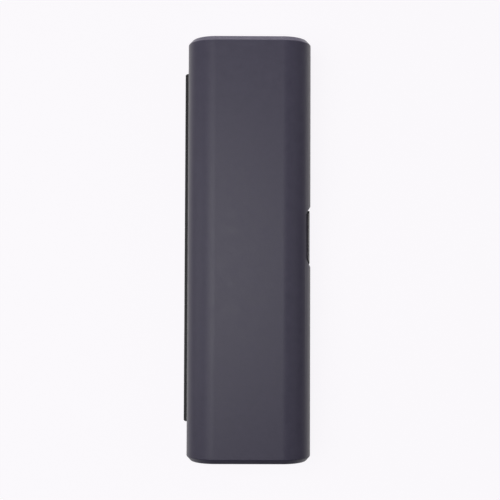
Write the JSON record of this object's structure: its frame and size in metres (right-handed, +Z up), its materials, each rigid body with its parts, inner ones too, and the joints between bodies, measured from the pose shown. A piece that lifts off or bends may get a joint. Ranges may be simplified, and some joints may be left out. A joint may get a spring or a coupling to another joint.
{
  "type": "electric toothbrush travel case",
  "caption": "Slim hinged travel case for an electric toothbrush, with a round-cornered shell, a barrel hinge along one side, a push-button latch and moulded storage bays inside.",
  "frame": {"origin": "middle of the base's flat bottom, on the surface that the case lies on", "axes": "+X across the case from the hinge to the latch, +Y along the case, +Z up through the lid"},
  "size_m": [0.0724, 0.24, 0.044],
  "materials": {
    "soft_touch_shell": "fine matte soft-touch coat",
    "liner_plastic": "satin black moulding",
    "mechanism_plastic": "plain black moulding",
    "button_plastic": "satin grey moulding",
    "rest_rubber": "dark grey soft rubber",
    "bumper_silicone": "pale grey silicone",
    "pin_steel": "drawn steel wire",
    "striker_steel": "stamped spring steel",
    "screw_steel": "plated steel",
    "spring_steel": "spring wire"
  },
  "bodies": {
    "base": {"base_shell": "soft_touch_shell", "base_tray": "liner_plastic", "hinge_pin": "pin_steel", "handle_saddle_lower": "rest_rubber", "handle_saddle_upper": "rest_rubber", "head_clips": "rest_rubber", "lid_bumpers": "bumper_silicone", "base_tray_screws": "screw_steel", "latch_housing": "mechanism_plastic", "latch_housing_screws": "screw_steel", "latch_spring_lower": "spring_steel", "latch_spring_upper": "spring_steel"},
    "lid": {"lid_shell": "soft_touch_shell", "lid_liner": "liner_plastic", "lid_liner_screws": "screw_steel", "lid_pad_lower": "rest_rubber", "lid_pad_upper": "rest_rubber", "lid_head_pads": "rest_rubber", "striker_plate": "striker_steel", "striker_screws": "screw_steel"},
    "latch": {"latch_button": "button_plastic", "latch_slider": "mechanism_plastic"}
  },
  "joints": [
    {"name": "lid_hinge", "type": "hinge", "parent": "base", "child": "lid", "pos_m": [-0.0354, 0.0016, 0.02315], "axis": [0, -1, 0], "range_deg": [0, 180]},
    {"name": "latch_press", "type": "slide", "parent": "base", "child": "latch", "axis": [-1, 0, 0], "range_m": [0, 0.002], "stiffness_N_per_m": 1500, "springref_m": -0.001, "deforming": ["latch_spring_lower", "latch_spring_upper"]}
  ]
}
